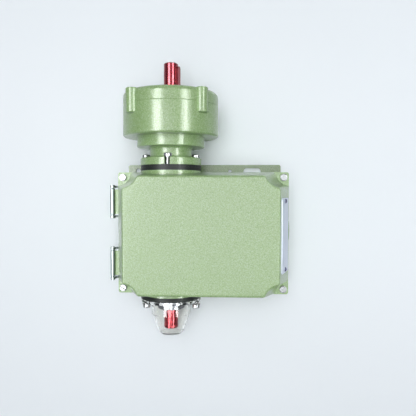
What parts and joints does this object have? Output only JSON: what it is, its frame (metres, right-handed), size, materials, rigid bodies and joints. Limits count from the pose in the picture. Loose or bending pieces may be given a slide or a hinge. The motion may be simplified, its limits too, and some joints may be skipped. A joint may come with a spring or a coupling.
{
  "type": "inline gear reducer",
  "caption": "Inline planetary gear reducer: keyed input shaft and round gear head flanged to a box with hinged cover, slotted mounting plate and a clear cap on the far end.",
  "frame": {"origin": "centre of the mounting plate's underside, midway between its four slots", "axes": "+Z out of the plate through the cover's flat front; +Y along the shafts towards the keyed input end; +X from the cover's hinges towards its nameplate side"},
  "size_m": [0.1759, 0.2653, 0.099],
  "materials": {
    "green_paint": "pale green hammertone enamel, fairly glossy",
    "plate_paint": "pale green hammertone enamel on folded steel plate",
    "plug_paint": "green enamel on a screwed plug",
    "black_ring": "black moulded ring, semi-matt",
    "red_shaft": "ground steel under transparent red protective lacquer",
    "clear_plastic": "clear moulded plastic, smooth",
    "zinc_screws": "bright zinc or nickel plated steel",
    "hinge_steel": "satin stainless steel",
    "nameplate_metal": "satin aluminium, blank",
    "rivet_metal": "dull rivets",
    "seal_rubber": "black rubber, matt",
    "dished_plate": "bright pressed steel",
    "gear_steel": "machined steel, lightly oiled",
    "bearing_steel": "polished bearing steel",
    "bronze": "sintered bronze",
    "white_plastic": "natural white acetal",
    "signal_metal": "turned steel",
    "disc_metal": "dark anodised sheet",
    "bracket_zinc": "yellowish zinc-plated sheet steel",
    "sensor_plastic": "black moulded plastic",
    "lamp_plastic": "red lens",
    "terminal_plastic": "grey moulded polyamide",
    "terminal_brass": "plated brass"
  },
  "bodies": {
    "box": {"mounting_plate": "plate_paint", "plate_screws": "zinc_screws", "base_housing": "green_paint", "cover_seal": "seal_rubber", "hinge_brackets": "hinge_steel", "hinge_pins": "hinge_steel", "pan_head_screws": "zinc_screws", "cable_entry_plug": "plug_paint", "cable_entry_seal": "seal_rubber", "upper_spacer_ring": "black_ring", "lower_spacer_ring": "black_ring", "adapter": "green_paint", "adapter_screws": "zinc_screws", "adapter_bolts": "zinc_screws", "gear_housing": "green_paint", "gear_housing_cover": "green_paint", "head_screws": "zinc_screws", "input_seal": "seal_rubber", "output_seal": "seal_rubber", "bearing_cover_plate": "dished_plate", "clear_cap": "clear_plastic", "cap_screws": "zinc_screws", "ring_gear": "gear_steel", "signal_brackets": "bracket_zinc", "signal_bushes": "bronze", "sensor_rail": "bracket_zinc", "fork_sensors": "sensor_plastic", "fork_sensor_lamps": "lamp_plastic", "terminal_block": "terminal_plastic", "terminal_screws": "terminal_brass", "earth_stud": "zinc_screws", "bearing_outer_rings": "bearing_steel"},
    "cover": {"cover": "green_paint", "cover_screws": "zinc_screws", "nameplate": "nameplate_metal", "nameplate_rivets": "rivet_metal", "hinge_barrels": "hinge_steel"},
    "output": {"through_shaft": "red_shaft", "planet_carrier": "gear_steel", "planet_pins": "gear_steel", "pilot_bush": "bronze", "drive_gear": "gear_steel", "drive_gear_grub_screw": "zinc_screws", "output_bearing_inner_rings": "bearing_steel", "output_bearing_balls": "bearing_steel"},
    "input": {"input_shaft": "red_shaft", "input_key": "red_shaft", "sun_gear": "gear_steel", "input_bearing_inner_ring": "bearing_steel", "input_bearing_balls": "bearing_steel"},
    "signal": {"signal_shaft": "signal_metal", "signal_gear": "white_plastic", "disc_hubs": "signal_metal", "signal_discs": "disc_metal"},
    "planet_1": {"planet_gear_1": "gear_steel", "planet_bush_1": "bronze"},
    "planet_2": {"planet_gear_2": "gear_steel", "planet_bush_2": "bronze"},
    "planet_3": {"planet_gear_3": "gear_steel", "planet_bush_3": "bronze"}
  },
  "joints": [
    {"name": "output_spin", "type": "hinge", "parent": "box", "child": "output", "pos_m": [-0.03, 0, 0.05], "axis": [0, 1, 0], "continuous": true},
    {"name": "input_spin", "type": "hinge", "parent": "box", "child": "input", "pos_m": [-0.03, 0.13, 0.05], "axis": [0, 1, 0], "continuous": true},
    {"name": "signal_spin", "type": "hinge", "parent": "box", "child": "signal", "pos_m": [0.015, 0, 0.05], "axis": [0, 1, 0], "continuous": true},
    {"name": "planet_1_spin", "type": "hinge", "parent": "output", "child": "planet_1", "pos_m": [-0.03, 0.11, 0.0725], "axis": [0, 1, 0], "continuous": true},
    {"name": "planet_2_spin", "type": "hinge", "parent": "output", "child": "planet_2", "pos_m": [-0.04949, 0.11, 0.03875], "axis": [0, 1, 0], "continuous": true},
    {"name": "planet_3_spin", "type": "hinge", "parent": "output", "child": "planet_3", "pos_m": [-0.01051, 0.11, 0.03875], "axis": [0, 1, 0], "continuous": true},
    {"name": "cover_swing", "type": "hinge", "parent": "box", "child": "cover", "pos_m": [-0.086, 0, 0.06], "axis": [0, -1, 0], "range_deg": [0, 110]}
  ],
  "couplings": [
    {"joint": "input_spin", "follows": "output_spin", "ratio": 4},
    {"joint": "signal_spin", "follows": "output_spin", "ratio": -0.5},
    {"joint": "planet_1_spin", "follows": "output_spin", "ratio": -3},
    {"joint": "planet_2_spin", "follows": "output_spin", "ratio": -3},
    {"joint": "planet_3_spin", "follows": "output_spin", "ratio": -3}
  ]
}
